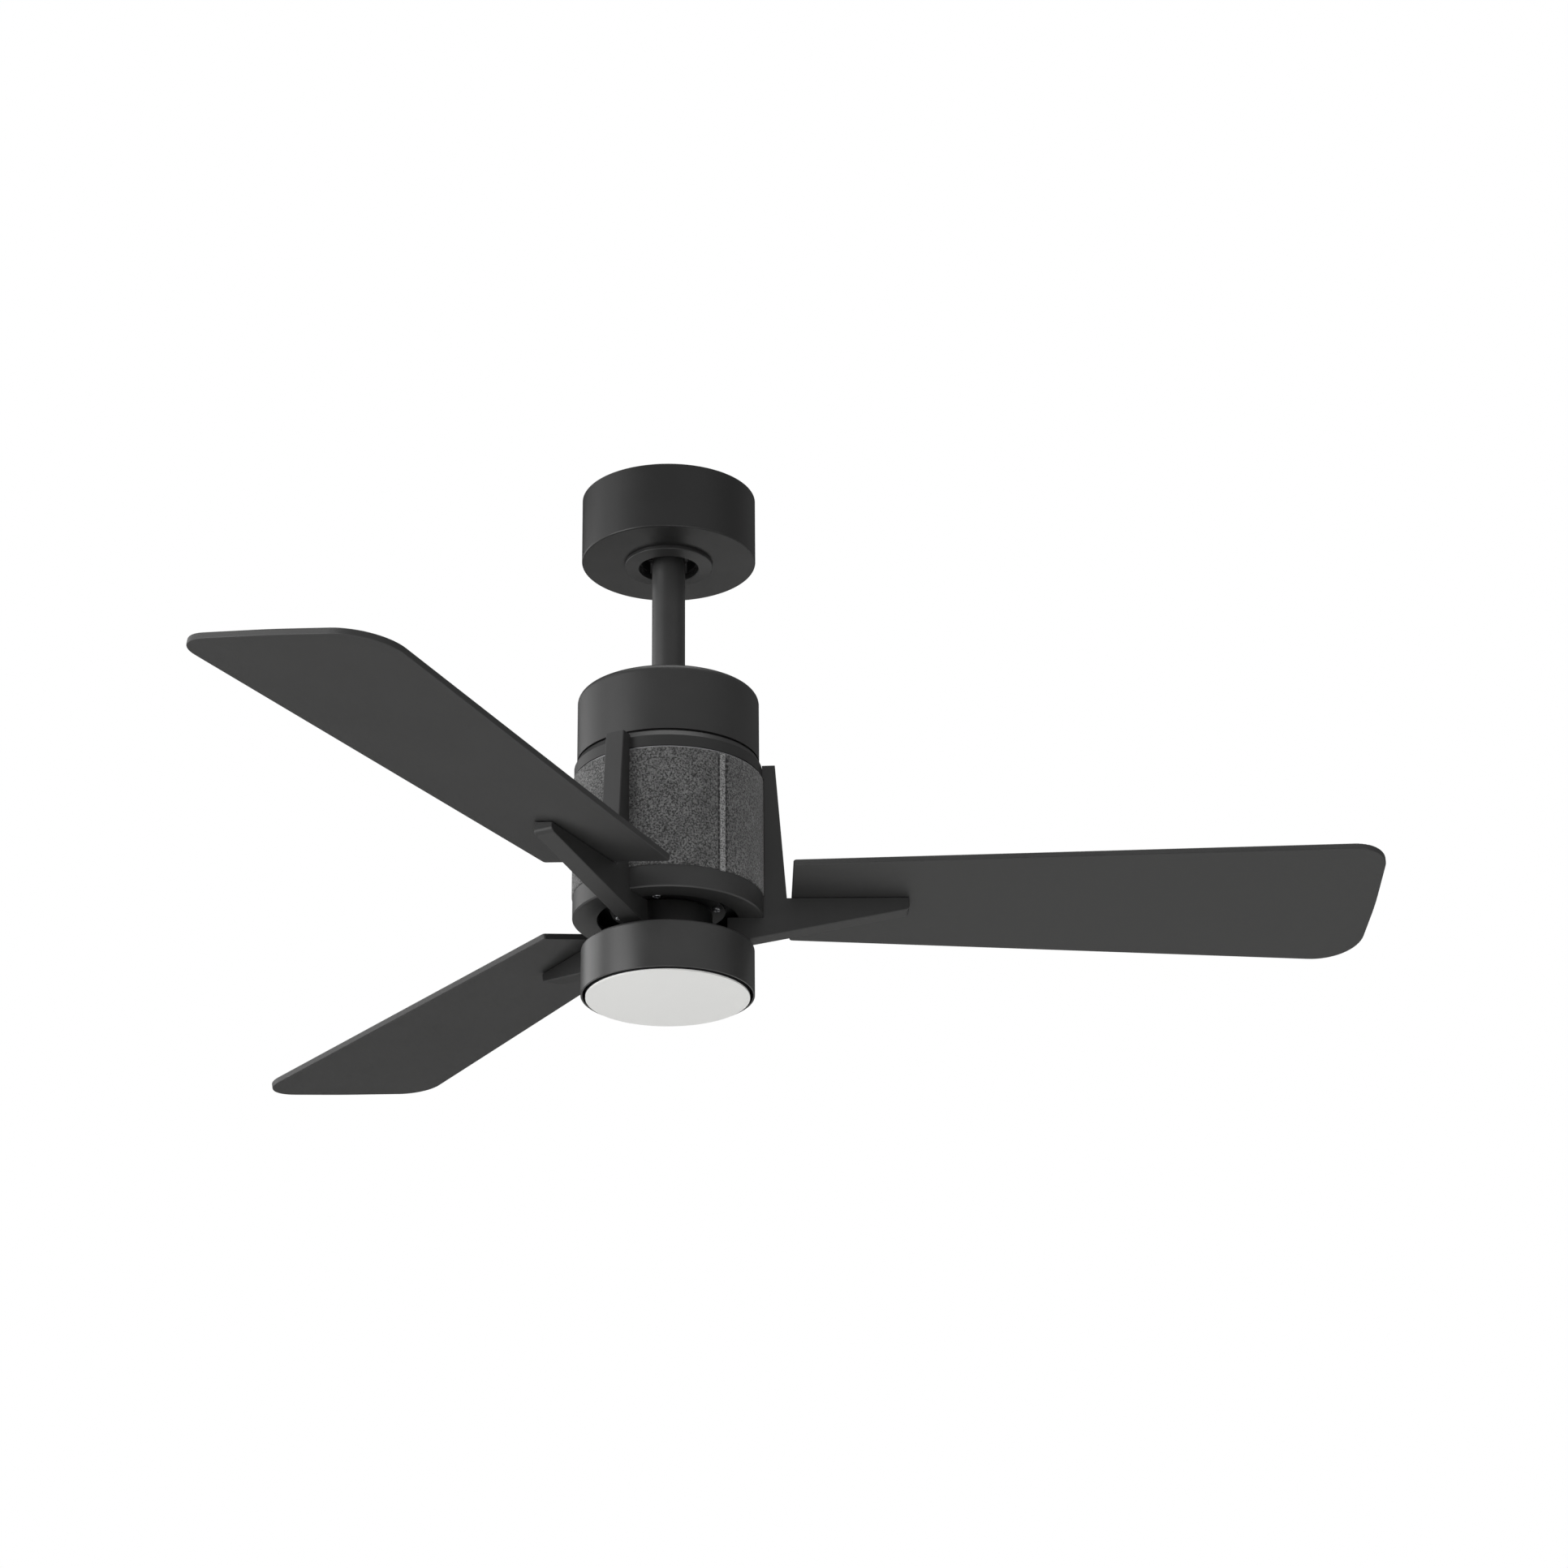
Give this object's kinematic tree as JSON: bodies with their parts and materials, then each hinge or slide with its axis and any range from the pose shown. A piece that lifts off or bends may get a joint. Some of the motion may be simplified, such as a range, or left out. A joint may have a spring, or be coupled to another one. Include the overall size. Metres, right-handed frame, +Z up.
{
  "type": "ceiling fan with light",
  "caption": "Matte black ceiling fan: ball-hung canopy and downrod, leather-wrapped drum motor, pitched blades on slim cast arms and a flat round frosted light.",
  "frame": {"origin": "centre of the ceiling bracket's top face, on the ceiling plane; the fan hangs below it, so every height is negative", "axes": "+Z up into the ceiling along the downrod; +X along the bracket's line of mounting slots and, within half a degree, along the first blade arm; -Y towards the room side the fan is seen from"},
  "size_m": [0.9044, 1.0255, 0.4316],
  "materials": {
    "zinc_steel": "zinc plated",
    "black_coat": "satin black powder coat",
    "black_screw": "blackened steel",
    "liner_nylon": "natural nylon",
    "hanger_nylon": "black moulded nylon",
    "black_rod": "satin black powder coat",
    "cast_iron_coupling": "cast, painted",
    "circuit_board": "green solder mask",
    "components": "moulded component cases",
    "motor_steel": "laminated electrical steel",
    "copper_wire": "enamelled copper wire",
    "bearing_steel": "ground bearing steel",
    "white_board": "white solder mask",
    "led_phosphor": "LED phosphor",
    "driver_case": "potted plastic case",
    "bell_aluminium": "die-cast aluminium",
    "magnet": "sintered ferrite",
    "leather": "charcoal grained leather, semi-matt",
    "blade_black": "black painted plywood, satin",
    "cast_black": "cast aluminium, black powder coat",
    "pad_rubber": "black rubber",
    "frosted_lens": "frosted white acrylic"
  },
  "bodies": {
    "ceiling": {"hanger_bracket": "zinc_steel", "canopy": "black_coat", "canopy_ring": "black_coat", "canopy_screws": "black_screw", "ground_screw": "zinc_steel"},
    "liner": {"ball_liner": "liner_nylon"},
    "suspension": {"hanger_ball": "hanger_nylon", "ball_cross_pin": "zinc_steel", "ball_set_screw": "zinc_steel", "downrod": "black_rod", "motor_yoke": "cast_iron_coupling", "clevis_pin": "zinc_steel", "cotter_pin": "zinc_steel", "yoke_set_screws": "zinc_steel", "upper_housing": "black_coat", "housing_screws": "black_screw", "base_plate": "zinc_steel", "board_standoffs": "liner_nylon", "control_board": "circuit_board", "board_components": "components", "stator_shaft": "motor_steel", "stator_core": "motor_steel", "stator_windings": "copper_wire", "bearing_inner_races": "bearing_steel", "light_neck": "black_coat", "shaft_nut": "zinc_steel", "light_ring": "black_coat", "neck_screws": "zinc_steel", "led_posts": "zinc_steel", "led_board": "white_board", "led_screws": "zinc_steel", "led_chips": "led_phosphor", "led_driver": "driver_case"},
    "bearing_cages": {"bearing_balls": "bearing_steel"},
    "rotor": {"rotor_top_bell": "bell_aluminium", "rotor_bottom_bell": "bell_aluminium", "bearing_retainer": "zinc_steel", "retainer_screws": "zinc_steel", "rotor_iron_ring": "motor_steel", "magnets": "magnet", "bearing_outer_races": "bearing_steel", "through_bolts": "zinc_steel", "trim_ring": "black_coat", "drum_sleeve": "bell_aluminium", "leather_band": "leather", "bottom_ring": "black_coat", "blade_1": "blade_black", "blade_2": "blade_black", "blade_3": "blade_black", "blade_arm_1": "cast_black", "blade_arm_2": "cast_black", "blade_arm_3": "cast_black", "blade_pads": "pad_rubber", "blade_screws": "black_screw", "arm_foot_screws": "zinc_steel", "arm_top_screws": "zinc_steel"},
    "lens": {"lens": "frosted_lens", "lens_bezel": "black_coat"}
  },
  "joints": [
    {"name": "swivel_x", "type": "hinge", "parent": "ceiling", "child": "liner", "pos_m": [0, 0, -0.03], "axis": [1, 0, 0], "range_deg": [-12, 12]},
    {"name": "swivel_y", "type": "hinge", "parent": "liner", "child": "suspension", "pos_m": [0, 0, -0.03], "axis": [0, 1, 0], "range_deg": [-12, 12]},
    {"name": "rotor_spin", "type": "hinge", "parent": "suspension", "child": "rotor", "pos_m": [0, 0, -0.29], "axis": [0, 0, 1], "continuous": true},
    {"name": "bearing_roll", "type": "hinge", "parent": "suspension", "child": "bearing_cages", "pos_m": [0, 0, -0.29], "axis": [0, 0, 1], "continuous": true},
    {"name": "lens_twist", "type": "hinge", "parent": "suspension", "child": "lens", "pos_m": [0, 0, -0.42], "axis": [0, 0, 1], "range_deg": [0, 15]}
  ],
  "couplings": [
    {"joint": "bearing_roll", "follows": "rotor_spin", "ratio": 0.6024}
  ]
}
